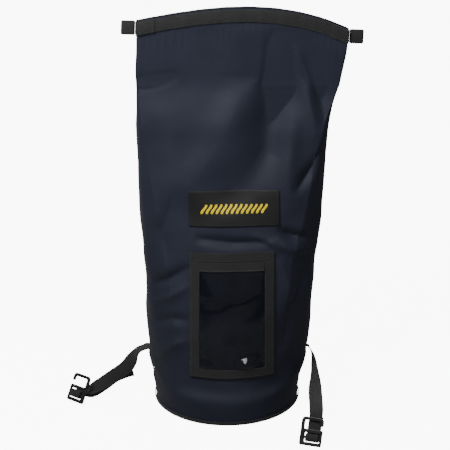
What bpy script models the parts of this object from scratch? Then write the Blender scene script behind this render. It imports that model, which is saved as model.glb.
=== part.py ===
"""Rope storage bag: a round-based fabric tube with a flat roll-top mouth.

The bag stands on its base, with its label and clear window facing -Y.  The mouth is pressed
flat and stiffened by a webbing rim with a loop at each end.  A short webbing strap with a
G-hook is sewn low on each side.  Metres, +Z up, origin at the middle of the base.
"""
import math

import bpy
from mathutils import Matrix, Vector

# Driving dimensions
BASE_RADIUS = 0.131
FABRIC = 0.0012
WEB_WIDTH = 0.0254
WEB_THICK = 0.0016
CLEAR = 0.0004

# The tube: height, half width, half depth and sideways lean of its centre
TUBE = (
    (0.0034, 0.1310, 0.1310, 0.000),
    (0.020, 0.1314, 0.1310, 0.000),
    (0.050, 0.1345, 0.1305, 0.001),
    (0.080, 0.1375, 0.1290, 0.001),
    (0.110, 0.1400, 0.1265, 0.001),
    (0.140, 0.1425, 0.1225, 0.002),
    (0.175, 0.1440, 0.1170, 0.002),
    (0.210, 0.1460, 0.1110, 0.003),
    (0.250, 0.1470, 0.1020, 0.003),
    (0.290, 0.1485, 0.0925, 0.001),
    (0.330, 0.1545, 0.0825, 0.004),
    (0.375, 0.1605, 0.0715, 0.006),
    (0.420, 0.1630, 0.0605, 0.006),
    (0.460, 0.1650, 0.0500, 0.006),
    (0.500, 0.1675, 0.0395, 0.006),
    (0.545, 0.1725, 0.0270, 0.010),
    (0.585, 0.1780, 0.0150, 0.015),
    (0.607, 0.1830, 0.0080, 0.018),
    (0.622, 0.1870, 0.0046, 0.021),
    (0.6365, 0.1895, 0.0045, 0.0236),
)
TUBE_SIDES = 52
CROWN = 1.6            # how fast the front rounds off towards the sides

# The flat collar and rim, in a frame that leans with the mouth
COLLAR_CENTRE = (0.0268, 0.0, 0.713)
COLLAR_LEAN = math.radians(2.4)
COLLAR_HALF_WIDTH = 0.1895
COLLAR_HALF_DEPTH = 0.0045
LOWER_FOLD = -0.076    # fold lines, measured up the collar from the rim's ends
UPPER_FOLD = -0.006
RIM_ARCH = 0.034
RIM_ARCH_SKEW = 0.28
RIM_HALF_WIDTH = 0.1905
TAB_LENGTH = 0.033
LOOP_LENGTH = 0.0255
LOOP_RADIUS = 0.0041

# Label, window and side anchors: left, right, bottom and top edges on the front
LABEL = (-0.0690, 0.0950, 0.3700, 0.4350)
WINDOW = (-0.0670, 0.0860, 0.0900, 0.3240)
FRAME_WEB = 0.0172
HEM_DEPTH = 0.0170
ANCHOR_BOTTOM, ANCHOR_TOP = 0.056, 0.0920

# G-hook, in its own plane: pivot bar at the origin, arm end up
HOOK_THICK = 0.0032
HOOK_OUTLINE = (
    (-24, -15, 4), (18.5, -15, 4), (18.5, 15.5, 2.5), (-17.5, 15.5, 2), (-17.5, 31.5, 3),
    (12.5, 31.5, 3), (12.5, 22.5, 2.5), (18.5, 22.5, 2.5), (18.5, 37.5, 8), (-24, 37.5, 8),
)
HOOK_SLOTS = ((-8.5, -2.0), (2.0, 9.0))
HOOK_SLOT_SIDES = (-15.0, 14.0)
ARC_STEPS = 3
RING_INNER, RING_OUTER = 0.0030, 0.0046
STRAP_POINTS = 49
PARTING = 0.0018        # left between the sewn root of a strap and its swinging part

# Both hooks stand on their ends and lean back; each is also turned in its own plane and swung
# about its upright. Behind each pivot bar the strap and its tail leave by the points given as
# (behind, up, right), nearest the bar first.
VIEW_LEAN = math.radians(25.0)
HOOKS = {
    "left": {"pivot": (-0.2790, -0.0335, 0.0160), "turn": math.radians(18.0),
             "swing": math.radians(42.0), "flip": -1,
             "strap": ((0.0038, 0.0042, 0.0), (0.0108, 0.0078, 0.0008)),
             "tail": ((0.0068, 0.0010, 0.0), (0.0135, 0.0030, 0.0010))},
    "right": {"pivot": (0.1545, -0.2087, 0.0154), "turn": math.radians(8.0),
              "swing": math.radians(20.0), "flip": 1,
              "strap": ((0.0038, 0.0042, 0.0), (0.0042, 0.024, 0.0), (0.0070, 0.045, -0.001)),
              "tail": ((0.0064, 0.0042, 0.0), (0.0072, 0.024, 0.0), (0.0106, 0.040, 0.0))},
}
# Straps, from the swing point beside the bag to where they reach the hook
STRAPS = {
    "left": ((-0.1525, -0.003, 0.0972), (-0.1649, -0.005, 0.0911), (-0.1758, -0.007, 0.0741),
             (-0.1866, -0.009, 0.0587), (-0.2109, -0.013, 0.0412), (-0.2364, -0.019, 0.0262),
             (-0.2540, -0.025, 0.0190)),
    "right": ((0.1495, -0.001, 0.0985), (0.1545, -0.005, 0.0930), (0.1580, -0.014, 0.0840),
              (0.1600, -0.032, 0.0740), (0.1608, -0.070, 0.0640), (0.1615, -0.115, 0.0590),
              (0.1622, -0.155, 0.0575)),
}
TAILS = {
    "left": ((-0.2530, -0.0215, 0.0120), (-0.2348, -0.0138, 0.0206), (-0.2103, -0.0072, 0.0383),
             (-0.1935, -0.0035, 0.0445), (-0.1740, -0.0035, 0.0488)),
    "right": (),
}
# Which way the webbing's width points at fractions of its length; it ends along the hook's bar
STRAP_TWIST = {
    "left": ((0.10, (0, -1, 0)), (0.40, (0.57, -0.35, -0.74)), (0.56, (0.57, -0.35, -0.74)),
             (0.74, (0.71, -0.59, -0.38)), (0.92, None)),
    "right": ((0.0, (0, -1, 0)), (0.07, (0, -0.906, 0.423)), (0.18, (0.28, -0.87, 0.41)),
              (0.72, None)),
}
TAIL_TWIST = {
    "left": ((0.0, None), (0.38, (0.71, -0.59, -0.38)), (0.62, (0.57, -0.35, -0.74)),
             (1.0, (0.85, 0.10, -0.50))),
    "right": ((0.0, None),),
}


# Scene and material helpers

def clear_scene():
    for obj in list(bpy.data.objects):
        bpy.data.objects.remove(obj, do_unlink=True)


def material(name, colour, roughness, metallic=0.0, alpha=1.0):
    mat = bpy.data.materials.new(name)
    mat.use_nodes = True
    shader = mat.node_tree.nodes["Principled BSDF"]
    shader.inputs["Base Color"].default_value = (*colour, 1.0)
    shader.inputs["Roughness"].default_value = roughness
    shader.inputs["Metallic"].default_value = metallic
    shader.inputs["Alpha"].default_value = alpha
    return mat


def add_object(name, data, mat, parent=None):
    obj = bpy.data.objects.new(name, data)
    bag.objects.link(obj)
    obj.data.materials.append(mat)
    obj.parent = parent
    return obj


def mesh_object(name, points, faces, mat, parent=None):
    mesh = bpy.data.meshes.new(name)
    mesh.from_pydata([tuple(p) for p in points], [], faces)
    mesh.update()
    mesh.shade_smooth()
    mesh.set_sharp_from_angle(angle=math.radians(35))
    return add_object(name, mesh, mat, parent)


def thicken(obj, thickness, offset):
    shell = obj.modifiers.new("thickness", "SOLIDIFY")
    shell.thickness = thickness
    shell.offset = offset


# Curves and lofts

def smooth_path(points, count):
    """Points at even steps along a Catmull-Rom curve through the given points."""
    knots = [Vector(p) for p in points]
    knots = [2 * knots[0] - knots[1]] + knots + [2 * knots[-1] - knots[-2]]
    dense = []
    for i in range(1, len(knots) - 2):
        a, b, c, d = knots[i - 1:i + 3]
        for k in range(16):
            t = k / 16
            dense.append(0.5 * (2 * b + (c - a) * t + (2 * a - 5 * b + 4 * c - d) * t * t
                                + (3 * b - a - 3 * c + d) * t ** 3))
    dense.append(knots[-2])
    lengths = [0.0]
    for p, q in zip(dense, dense[1:]):
        lengths.append(lengths[-1] + (q - p).length)
    result = []
    for i in range(count):
        want = lengths[-1] * i / (count - 1)
        k = max(j for j in range(len(lengths) - 1) if lengths[j] <= want + 1e-12)
        span = lengths[k + 1] - lengths[k]
        result.append(dense[k].lerp(dense[k + 1], (want - lengths[k]) / span))
    return result


def ramp(value, low, high):
    t = min(max((value - low) / (high - low), 0.0), 1.0)
    return t * t * (3 - 2 * t)


def ribbon(name, path, sides, width, thickness, mat, closed=False, parent=None):
    """A flat strip with a rectangular section; sides gives its width direction at each point."""
    points, faces, count = [], [], len(path)
    for i, p in enumerate(path):
        before = path[i - 1] if i or closed else p
        after = path[(i + 1) % count] if i < count - 1 or closed else p
        along = (after - before).normalized()
        side = (sides[i] - along * sides[i].dot(along)).normalized()
        up = along.cross(side)
        for w, h in ((-1, -1), (1, -1), (1, 1), (-1, 1)):
            points.append(p + side * (w * width / 2) + up * (h * thickness / 2))
    for i in range(count if closed else count - 1):
        a, b = 4 * i, 4 * ((i + 1) % count)
        for k in range(4):
            n = (k + 1) % 4
            faces.append((a + k, a + n, b + n, b + k))
    if not closed:
        faces.append((3, 2, 1, 0))
        last = 4 * (count - 1)
        faces.append((last, last + 1, last + 2, last + 3))
    return mesh_object(name, points, faces, mat, parent)


# The tube's surface

def tube_at(height):
    for low, high in zip(TUBE, TUBE[1:]):
        if height <= high[0]:
            break
    t = min(max((height - low[0]) / (high[0] - low[0]), 0.0), 1.0)
    return [a + (b - a) * t for a, b in zip(low[1:], high[1:])]


def section(angle, half_width, half_depth):
    """A flattened tube: round ends joined by crowned front and back faces."""
    spread = min(max(CROWN * math.cos(angle), -1.0), 1.0)
    return (half_depth * math.cos(angle) + (half_width - half_depth) * spread,
            half_depth * math.sin(angle))


def tube_point(angle, height):
    half_width, half_depth, lean = tube_at(height)
    x, y = section(angle, half_width, half_depth)
    top = TUBE[-1][0]
    tilt = ramp(height, 0.30, top) * math.tan(COLLAR_LEAN)
    return Vector((lean + x, y, height - tilt * x))


def tube_normal(angle, height):
    step = 0.004
    round_it = tube_point(angle + step, height) - tube_point(angle - step, height)
    up_it = tube_point(angle, height + step) - tube_point(angle, max(height - step, TUBE[0][0]))
    return round_it.cross(up_it).normalized()


def front_angle(x, height):
    """The angle at which the front of the tube is at x."""
    low, high = math.pi, 2 * math.pi
    for _ in range(40):
        middle = (low + high) / 2
        if tube_point(middle, height).x < x:
            low = middle
        else:
            high = middle
    return (low + high) / 2


def patch(name, angle_range, height_range, steps, lift, thickness, mat):
    """A sheet laid on the tube: its angles may be a function of the height."""
    across, up = steps
    points, faces = [], []
    for j in range(up + 1):
        height = height_range[0] + (height_range[1] - height_range[0]) * j / up
        start, end = angle_range(height)
        for i in range(across + 1):
            angle = start + (end - start) * i / across
            points.append(tube_point(angle, height) + tube_normal(angle, height) * lift)
    for j in range(up):
        for i in range(across):
            a = j * (across + 1) + i
            faces.append((a, a + 1, a + across + 2, a + across + 1))
    obj = mesh_object(name, points, faces, mat)
    thicken(obj, thickness, 1.0)
    return obj


def front_patch(name, box, steps, lift, thickness, mat):
    left, right, bottom, top = box
    return patch(name, lambda z: (front_angle(left, z), front_angle(right, z)),
                 (bottom, top), steps, lift, thickness, mat)


# Body of the bag

def make_base():
    bpy.ops.mesh.primitive_cylinder_add(vertices=TUBE_SIDES, radius=BASE_RADIUS, depth=0.003,
                                        location=(0, 0, 0.0015))
    disc = bpy.context.active_object
    disc.name = "base_panel"
    for collection in list(disc.users_collection):
        collection.objects.unlink(disc)
    bag.objects.link(disc)
    disc.data.materials.append(fabric)
    radius = BASE_RADIUS + 0.0018
    path = [Vector((radius * math.cos(a), radius * math.sin(a), 0.0043))
            for a in (2 * math.pi * i / TUBE_SIDES for i in range(TUBE_SIDES))]
    ribbon("base_binding", path, [Vector((0, 0, 1))] * TUBE_SIDES, 0.007, 0.0014, webbing,
           closed=True)


def make_body():
    points, faces = [], []
    for height, *_ in TUBE:
        for i in range(TUBE_SIDES):
            points.append(tube_point(2 * math.pi * i / TUBE_SIDES, height))
    for j in range(len(TUBE) - 1):
        for i in range(TUBE_SIDES):
            k = (i + 1) % TUBE_SIDES
            a, b = j * TUBE_SIDES, (j + 1) * TUBE_SIDES
            faces.append((a + i, a + k, b + k, b + i))
    body = mesh_object("body_panel", points, faces, fabric)
    thicken(body, FABRIC, -1.0)
    back = math.pi / 2
    patch("back_seam_tape", lambda z: (back - 0.10, back + 0.10), (0.02, 0.54), (3, 20),
          -0.0032, 0.0010, webbing)


def make_tie_loop():
    """The webbing loop inside the base that the rope's first end is tied to."""
    route = ((-0.045, 0, 0.0042), (-0.030, 0, 0.0042), (-0.021, 0, 0.0075), (-0.013, 0, 0.026),
             (0.0, 0, 0.034), (0.013, 0, 0.026), (0.021, 0, 0.0075), (0.030, 0, 0.0042),
             (0.045, 0, 0.0042))
    path = smooth_path(route, 29)
    ribbon("inner_tie_loop", path, [Vector((0, 1, 0))] * len(path), WEB_WIDTH, 0.0014, webbing)


# Label and window

def make_front():
    front_patch("label_patch", LABEL, (8, 4), 0.0014, 0.0016, rubber)
    left, right, bottom, top = WINDOW
    web = FRAME_WEB
    gap = 0.0004
    front_patch("window_sheet", (left + 0.004, right - 0.004, bottom + 0.004, top - 0.016),
                (8, 10), 0.0014, 0.0008, clear_vinyl)
    strips = {
        "window_frame_bottom": (left, right, bottom, bottom + web),
        "window_frame_top": (left, right, top - web, top),
        "window_frame_left": (left, left + web, bottom + web + gap, top - web - gap),
        "window_frame_right": (right - web, right, bottom + web + gap, top - web - gap),
    }
    for name, box in strips.items():
        upright = name.endswith(("left", "right"))
        front_patch(name, box, (1, 10) if upright else (8, 1), 0.0028, 0.0014, webbing)
    hem_top = top - web - gap
    front_patch("window_hem_binding", (left + web + gap, right - web - gap,
                                       hem_top - HEM_DEPTH, hem_top),
                (6, 1), 0.0028, 0.0014, webbing)


# The roll-top: a collar segment and the rim, each folding forward

def rim_rise(x):
    """How far the rim's lower edge arches above the line through its ends."""
    t = min(max(x / RIM_HALF_WIDTH, -1.0), 1.0)
    return RIM_ARCH * (1 - t * t) * (1 + RIM_ARCH_SKEW * t)


def sleeve(name, levels, mat, parent):
    """A flattened tube; each level gives its height as a function of x."""
    points, faces = [], []
    for level in levels:
        for i in range(TUBE_SIDES):
            x, y = section(2 * math.pi * i / TUBE_SIDES, COLLAR_HALF_WIDTH, COLLAR_HALF_DEPTH)
            points.append((x, y, level(x)))
    for j in range(len(levels) - 1):
        for i in range(TUBE_SIDES):
            k = (i + 1) % TUBE_SIDES
            a, b = j * TUBE_SIDES, (j + 1) * TUBE_SIDES
            faces.append((a + i, a + k, b + k, b + i))
    obj = mesh_object(name, points, faces, mat, parent)
    thicken(obj, FABRIC, -1.0)


def rim_strip(name, left, right, inset, y_range, mat, parent):
    """A flat strip that follows the rim's arch, inset from its two edges."""
    count = max(4, round((right - left) / 0.012))
    front, back = y_range
    points, faces = [], []
    for i in range(count + 1):
        x = left + (right - left) * i / count
        low, high = rim_rise(x) + inset, rim_rise(x) + WEB_WIDTH - inset
        points += [(x, front, low), (x, back, low), (x, back, high), (x, front, high)]
    for i in range(count):
        for k in range(4):
            n = (k + 1) % 4
            faces.append((4 * i + k, 4 * i + n, 4 * i + 4 + n, 4 * i + 4 + k))
    faces.append((3, 2, 1, 0))
    last = 4 * count
    faces.append((last, last + 1, last + 2, last + 3))
    mesh_object(name, points, faces, mat, parent)


def make_roll_top():
    frame = bpy.data.objects.new("collar_frame", None)
    bag.objects.link(frame)
    frame.location = COLLAR_CENTRE
    frame.rotation_euler = (0, COLLAR_LEAN, 0)
    sleeve("collar_sleeve", [lambda x: LOWER_FOLD + CLEAR, lambda x: -0.040,
                             lambda x: UPPER_FOLD - CLEAR], fabric, frame)
    sleeve("rim_sleeve", [lambda x: UPPER_FOLD + CLEAR, rim_rise,
                          lambda x: rim_rise(x) + WEB_WIDTH - 0.002], fabric, frame)
    width = RIM_HALF_WIDTH
    rim_strip("rim_stiffener", -0.155, 0.155, 0.004, (-0.0058, -0.0050), stiff_strip, frame)
    rim_strip("rim_webbing_front", -width, width, 0.0, (-0.0078, -0.0062), webbing, frame)
    rim_strip("rim_webbing_back", -width, width, 0.0, (0.0050, 0.0066), webbing, frame)
    for side, sign in (("left", -1), ("right", 1)):
        ends = sorted((sign * (width - TAB_LENGTH), sign * width))
        rim_strip(f"loop_tab_{side}", *ends, 0.0, (-0.0096, -0.0082), webbing, frame)
        make_end_loop(side, sign, frame)


def make_end_loop(side, sign, frame):
    """Webbing doubled back on itself, open from top to bottom."""
    near = RIM_HALF_WIDTH + LOOP_RADIUS + CLEAR + 0.0010
    far = near + LOOP_LENGTH - 2 * LOOP_RADIUS
    radius = LOOP_RADIUS - WEB_THICK / 2
    centre_y = -0.0008
    path = []
    for i in range(9):
        a = math.pi / 2 + math.pi * i / 8
        path.append(Vector((sign * (near + radius * math.cos(a)), centre_y + radius * math.sin(a),
                            WEB_WIDTH / 2)))
    for i in range(9):
        a = -math.pi / 2 + math.pi * i / 8
        path.append(Vector((sign * (far + radius * math.cos(a)), centre_y + radius * math.sin(a),
                            WEB_WIDTH / 2)))
    up = Vector((0, 0, 1))
    ribbon(f"end_loop_{side}", path, [up * sign] * len(path), WEB_WIDTH, WEB_THICK, webbing,
           closed=True, parent=frame)


# Straps and G-hooks

def hook_axes(turn, swing):
    """Right, up and out of a hook that leans back, is turned in its plane and swung round."""
    lean = Vector((0, math.sin(VIEW_LEAN), math.cos(VIEW_LEAN)))
    up = Vector((math.sin(turn), 0, 0)) + lean * math.cos(turn)
    flat = Vector((math.cos(turn), 0, 0)) - lean * math.sin(turn)
    right = flat * math.cos(swing) + flat.cross(up) * math.sin(swing)
    return right, up, right.cross(up)


def twisted(stops, count, bar):
    """Width directions along a strap, easing from stop to stop; None means along the bar."""
    places = [place for place, _ in stops]
    ways = [Vector(way) if way else bar for _, way in stops]
    result = []
    for i in range(count):
        t = i / (count - 1)
        k = sum(place <= t for place in places)
        if k == 0 or k == len(places):
            result.append(ways[max(k - 1, 0)].normalized())
        else:
            result.append(ways[k - 1].lerp(ways[k], ramp(t, places[k - 1], places[k]))
                          .normalized())
    return result


def rounded_loop(corners):
    """A closed outline in millimetres with an arc at each corner, as points in metres."""
    loop, count = [], len(corners)
    for i, (x, y, radius) in enumerate(corners):
        corner = Vector((x, y))
        back = (Vector(corners[i - 1][:2]) - corner).normalized()
        ahead = (Vector(corners[(i + 1) % count][:2]) - corner).normalized()
        start, end = corner + back * radius, corner + ahead * radius
        for k in range(ARC_STEPS + 1):
            t = k / ARC_STEPS
            p = start * (1 - t) ** 2 + corner * 2 * t * (1 - t) + end * t * t
            loop.append((p.x / 1000, p.y / 1000))
    return loop


def make_hook(side, pivot, axes, flip):
    curve = bpy.data.curves.new(f"g_hook_{side}", "CURVE")
    curve.dimensions = "2D"
    curve.fill_mode = "BOTH"
    curve.bevel_depth = 0.0005
    curve.bevel_resolution = 0
    curve.extrude = HOOK_THICK / 2 - curve.bevel_depth
    curve.offset = -curve.bevel_depth
    loops = [rounded_loop(HOOK_OUTLINE)]
    left, right = HOOK_SLOT_SIDES
    for low, high in HOOK_SLOTS:
        loops.append(rounded_loop(((left, low, 1.2), (left, high, 1.2), (right, high, 1.2),
                                   (right, low, 1.2))))
    for loop in loops:
        spline = curve.splines.new("POLY")
        spline.points.add(len(loop) - 1)
        for point, (x, y) in zip(spline.points, loop):
            point.co = (x * flip, y, 0, 1)
        spline.use_cyclic_u = True
    hook = add_object(f"g_hook_{side}", curve, hook_metal)
    right_axis, up_axis, out_axis = axes
    turn = Matrix((right_axis, up_axis, out_axis)).transposed().to_4x4()
    hook.matrix_world = Matrix.Translation(pivot) @ turn


def make_strap(side, sign):
    setup = HOOKS[side]
    pivot = Vector(setup["pivot"])
    right, up, out = hook_axes(setup["turn"], setup["swing"])
    make_hook(side, pivot, (right, up, out), setup["flip"])

    def leaving(points):
        return [pivot - out * behind + up * above + right * across
                for behind, above, across in points]

    ring_path = [pivot + (up * math.cos(a) + out * math.sin(a)) * (RING_INNER + RING_OUTER) / 2
                 for a in (2 * math.pi * i / 20 for i in range(20))]
    ribbon(f"strap_eye_{side}", ring_path, [right * -1] * 20, WEB_WIDTH,
           RING_OUTER - RING_INNER, webbing, closed=True)

    # One smooth route from the anchor to the hook, parted at the point it swings about
    half_width, _, lean = tube_at(ANCHOR_TOP)
    wall = lean + sign * (half_width + 0.0014)
    swing = Vector(STRAPS[side][0])
    route = [(wall, 0, ANCHOR_TOP + 0.0006), (wall + sign * 0.0012, 0, ANCHOR_TOP + 0.0035),
             (wall + sign * 0.0050, 0, ANCHOR_TOP + 0.0058), *STRAPS[side],
             *reversed(leaving(setup["strap"]))]
    path = smooth_path(route, STRAP_POINTS)
    part = min(range(STRAP_POINTS), key=lambda i: (path[i] - swing).length)
    sides = twisted(STRAP_TWIST[side], STRAP_POINTS, right)
    root = path[:part + 1]
    root[-1] = root[-1] + (root[-2] - root[-1]).normalized() * PARTING
    ribbon(f"strap_root_{side}", root, sides[:part + 1], WEB_WIDTH, WEB_THICK, webbing)
    ribbon(f"strap_{side}", path[part:], sides[part:], WEB_WIDTH, WEB_THICK, webbing)

    tail = leaving(setup["tail"]) + [Vector(p) for p in TAILS[side]]
    tail_path = smooth_path(tail, 8 if side == "right" else 25)
    ribbon(f"strap_tail_{side}", tail_path, twisted(TAIL_TWIST[side], len(tail_path), right),
           WEB_WIDTH, WEB_THICK, webbing)

    def span(height):
        half = math.asin(WEB_WIDTH / 2 / tube_at(height)[1])
        middle = 0.0 if sign > 0 else math.pi
        return middle - half, middle + half
    patch(f"strap_anchor_{side}", span, (ANCHOR_BOTTOM, ANCHOR_TOP), (4, 5), 0.0006, WEB_THICK,
          webbing)


clear_scene()
bag = bpy.data.collections.new("rope_storage_bag")
bpy.context.scene.collection.children.link(bag)
fabric = material("fabric", (0.030, 0.034, 0.055), 0.62)
webbing = material("webbing", (0.016, 0.016, 0.018), 0.80)
rubber = material("rubber", (0.014, 0.013, 0.015), 0.55)
clear_vinyl = material("clear_vinyl", (0.20, 0.22, 0.26), 0.12, alpha=0.35)
stiff_strip = material("stiff_strip", (0.05, 0.05, 0.05), 0.45)
hook_metal = material("hook_metal", (0.035, 0.035, 0.038), 0.38, 0.6)

make_base()
make_body()
make_tie_loop()
make_front()
make_roll_top()
for which, direction in (("left", -1), ("right", 1)):
    make_strap(which, direction)
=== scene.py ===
"""Looks of the rope storage bag: slack coated fabric, woven webbing, clear window, G-hooks."""
import math

import bpy
import numpy as np
from mathutils import Matrix, Vector, noise
from mathutils.bvhtree import BVHTree


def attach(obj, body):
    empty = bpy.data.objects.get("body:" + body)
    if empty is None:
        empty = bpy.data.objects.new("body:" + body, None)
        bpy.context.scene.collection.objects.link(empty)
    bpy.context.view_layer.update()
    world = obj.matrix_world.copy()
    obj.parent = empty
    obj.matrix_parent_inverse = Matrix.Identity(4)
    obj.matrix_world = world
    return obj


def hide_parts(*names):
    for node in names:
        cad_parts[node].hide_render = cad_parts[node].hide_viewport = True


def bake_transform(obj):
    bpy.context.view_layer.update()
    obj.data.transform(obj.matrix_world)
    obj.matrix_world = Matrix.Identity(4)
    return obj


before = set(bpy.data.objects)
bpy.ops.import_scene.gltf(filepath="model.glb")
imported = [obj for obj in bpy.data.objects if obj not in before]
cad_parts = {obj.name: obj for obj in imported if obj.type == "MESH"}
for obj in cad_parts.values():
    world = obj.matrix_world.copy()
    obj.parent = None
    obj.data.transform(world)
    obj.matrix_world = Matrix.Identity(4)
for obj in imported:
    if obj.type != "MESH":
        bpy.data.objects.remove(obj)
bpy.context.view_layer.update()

# Camera: the height it aims at, how far back it stands and how far it looks down
AIM = Vector((-0.0036, 0.0, 0.3444))
DISTANCE = 8.0
LOOK_DOWN = math.radians(25.0)
LENS = 350.7

LIGHTS = (("key", (-0.55, -0.7, 1.44), 0.5, 20), ("front", (0.3, -2.3, 1.6), 0.8, 13.5),
          ("back", (0.3, 2.4, 2.2), 1.6, 22))
SKY_LIGHT = 0.14
FLOOR_GLOW = 9.0

# The bag's dimensions, as in its design
FABRIC = 0.0012
WEB_WIDTH = 0.0254
WEB_THICK = 0.0016
TUBE = np.array((
    (0.0034, 0.131, 0.131, 0.000), (0.02, 0.1314, 0.131, 0.000),
    (0.05, 0.1345, 0.1305, 0.001), (0.08, 0.1375, 0.129, 0.001),
    (0.11, 0.14, 0.1265, 0.001), (0.14, 0.1425, 0.1225, 0.002),
    (0.175, 0.144, 0.117, 0.002), (0.21, 0.146, 0.111, 0.003),
    (0.25, 0.147, 0.102, 0.003), (0.29, 0.1485, 0.0925, 0.001),
    (0.33, 0.1545, 0.0825, 0.004), (0.375, 0.1605, 0.0715, 0.006),
    (0.42, 0.163, 0.0605, 0.006), (0.46, 0.165, 0.05, 0.006),
    (0.5, 0.1675, 0.0395, 0.006), (0.545, 0.1725, 0.027, 0.009),
    (0.585, 0.1775, 0.015, 0.013), (0.607, 0.18, 0.008, 0.0155),
    (0.622, 0.182, 0.0046, 0.0175), (0.6365, 0.1835, 0.0045, 0.019),
))
TUBE_TOP = TUBE[-1][0]
CROWN = 1.6
COLLAR_CENTRE = Vector((0.0268, 0.0, 0.713))
COLLAR_LEAN = math.radians(2.4)
COLLAR_LOW = (0.1835, -0.0046)     # half width and sideways offset at the lower fold
COLLAR_HIGH = (0.1895, 0.0)        # and at the upper fold
COLLAR_HALF_DEPTH = 0.0045
LOWER_FOLD = -0.076
UPPER_FOLD = -0.006
SPLIT = 0.6         # the tube's height where the cloth that stays still ends
MIDDLE = -0.04      # half way up the collar
RIM_ARCH = 0.034
RIM_ARCH_SKEW = 0.28
RIM_HALF_WIDTH = 0.1905
TAB_LENGTH = 0.033
LOOP_LENGTH = 0.0255
LOOP_RADIUS = 0.0041
LABEL = (-0.069, 0.095, 0.37, 0.435)
LABEL_THICK = 0.0018
BACK_TAPE = (0.0125, 0.02, 0.54)   # half width, bottom, top
WINDOW = (-0.067, 0.086, 0.09, 0.324)
FRAME_WEB = 0.0172
HEM_DEPTH = 0.017
ANCHOR_BOTTOM, ANCHOR_TOP = 0.056, 0.092
BINDING_RADIUS = 0.1328

# G-hook, in its own plane: pivot bar at the origin, arm end up
HOOK_THICK = 0.0032
HOOK_OUTLINE = (
    (-24, -15, 4), (18.5, -15, 4), (18.5, 15.5, 2.5), (-17.5, 15.5, 2), (-17.5, 31.5, 3),
    (12.5, 31.5, 3), (12.5, 22.5, 2.5), (18.5, 22.5, 2.5), (18.5, 37.5, 8), (-24, 37.5, 8),
)
HOOK_SLOTS = ((-8.5, -2.0), (2.0, 9.0))
HOOK_SLOT_SIDES = (-15.0, 14.0)
RING_INNER, RING_OUTER = 0.003, 0.0046
STRAP_POINTS = 98

# Both hooks stand on their ends and lean back; each is also turned in its own plane and swung
# about its upright. Behind each pivot bar the strap and its tail leave by the points given as
# (behind, up, right), nearest the bar first.
HOOK_LEAN = math.radians(25.0)
HOOKS = {
    "left": {"pivot": (-0.279, -0.0335, 0.016), "turn": 18.0, "swing": 42.0, "flip": -1,
             "strap": ((0.0038, 0.0042, 0.0), (0.0108, 0.0078, 0.0008)),
             "tail": ((0.0068, 0.001, 0.0), (0.0135, 0.003, 0.001))},
    "right": {"pivot": (0.1545, -0.2087, 0.0154), "turn": 8.0, "swing": 20.0, "flip": 1,
              "strap": ((0.0038, 0.0042, 0.0), (0.0042, 0.024, 0.0), (0.007, 0.045, -0.001)),
              "tail": ((0.0064, 0.0042, 0.0), (0.0072, 0.024, 0.0), (0.0106, 0.04, 0.0))},
}
# Straps, from the swing point beside the bag to where they reach the hook
STRAPS = {
    "left": ((-0.1525, -0.003, 0.0972), (-0.1649, -0.005, 0.0911), (-0.1758, -0.007, 0.0741),
             (-0.1866, -0.009, 0.0587), (-0.2109, -0.013, 0.0412), (-0.2364, -0.019, 0.0262),
             (-0.254, -0.025, 0.019)),
    "right": ((0.1495, -0.001, 0.0985), (0.1545, -0.005, 0.093), (0.158, -0.014, 0.084),
              (0.16, -0.032, 0.074), (0.1608, -0.07, 0.064), (0.1615, -0.115, 0.059),
              (0.1622, -0.155, 0.0575)),
}
TAILS = {
    "left": ((-0.253, -0.0215, 0.012), (-0.2348, -0.0138, 0.0206), (-0.2103, -0.0072, 0.0383),
             (-0.1935, -0.0035, 0.0445), (-0.174, -0.0035, 0.0488)),
    "right": (),
}
# Which way the webbing's width points at fractions of its length; it ends along the hook's bar
STRAP_TWIST = {
    "left": ((0.1, (0, -1, 0)), (0.4, (0.57, -0.35, -0.74)), (0.56, (0.57, -0.35, -0.74)),
             (0.74, (0.71, -0.59, -0.38)), (0.92, None)),
    "right": ((0.0, (0, -1, 0)), (0.07, (0, -0.906, 0.423)), (0.18, (0.28, -0.87, 0.41)),
              (0.72, None)),
}
TAIL_TWIST = {
    "left": ((0.0, None), (0.38, (0.71, -0.59, -0.38)), (0.62, (0.57, -0.35, -0.74)),
             (1.0, (0.85, 0.1, -0.5))),
    "right": ((0.0, None), (1.0, None)),
}

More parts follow.
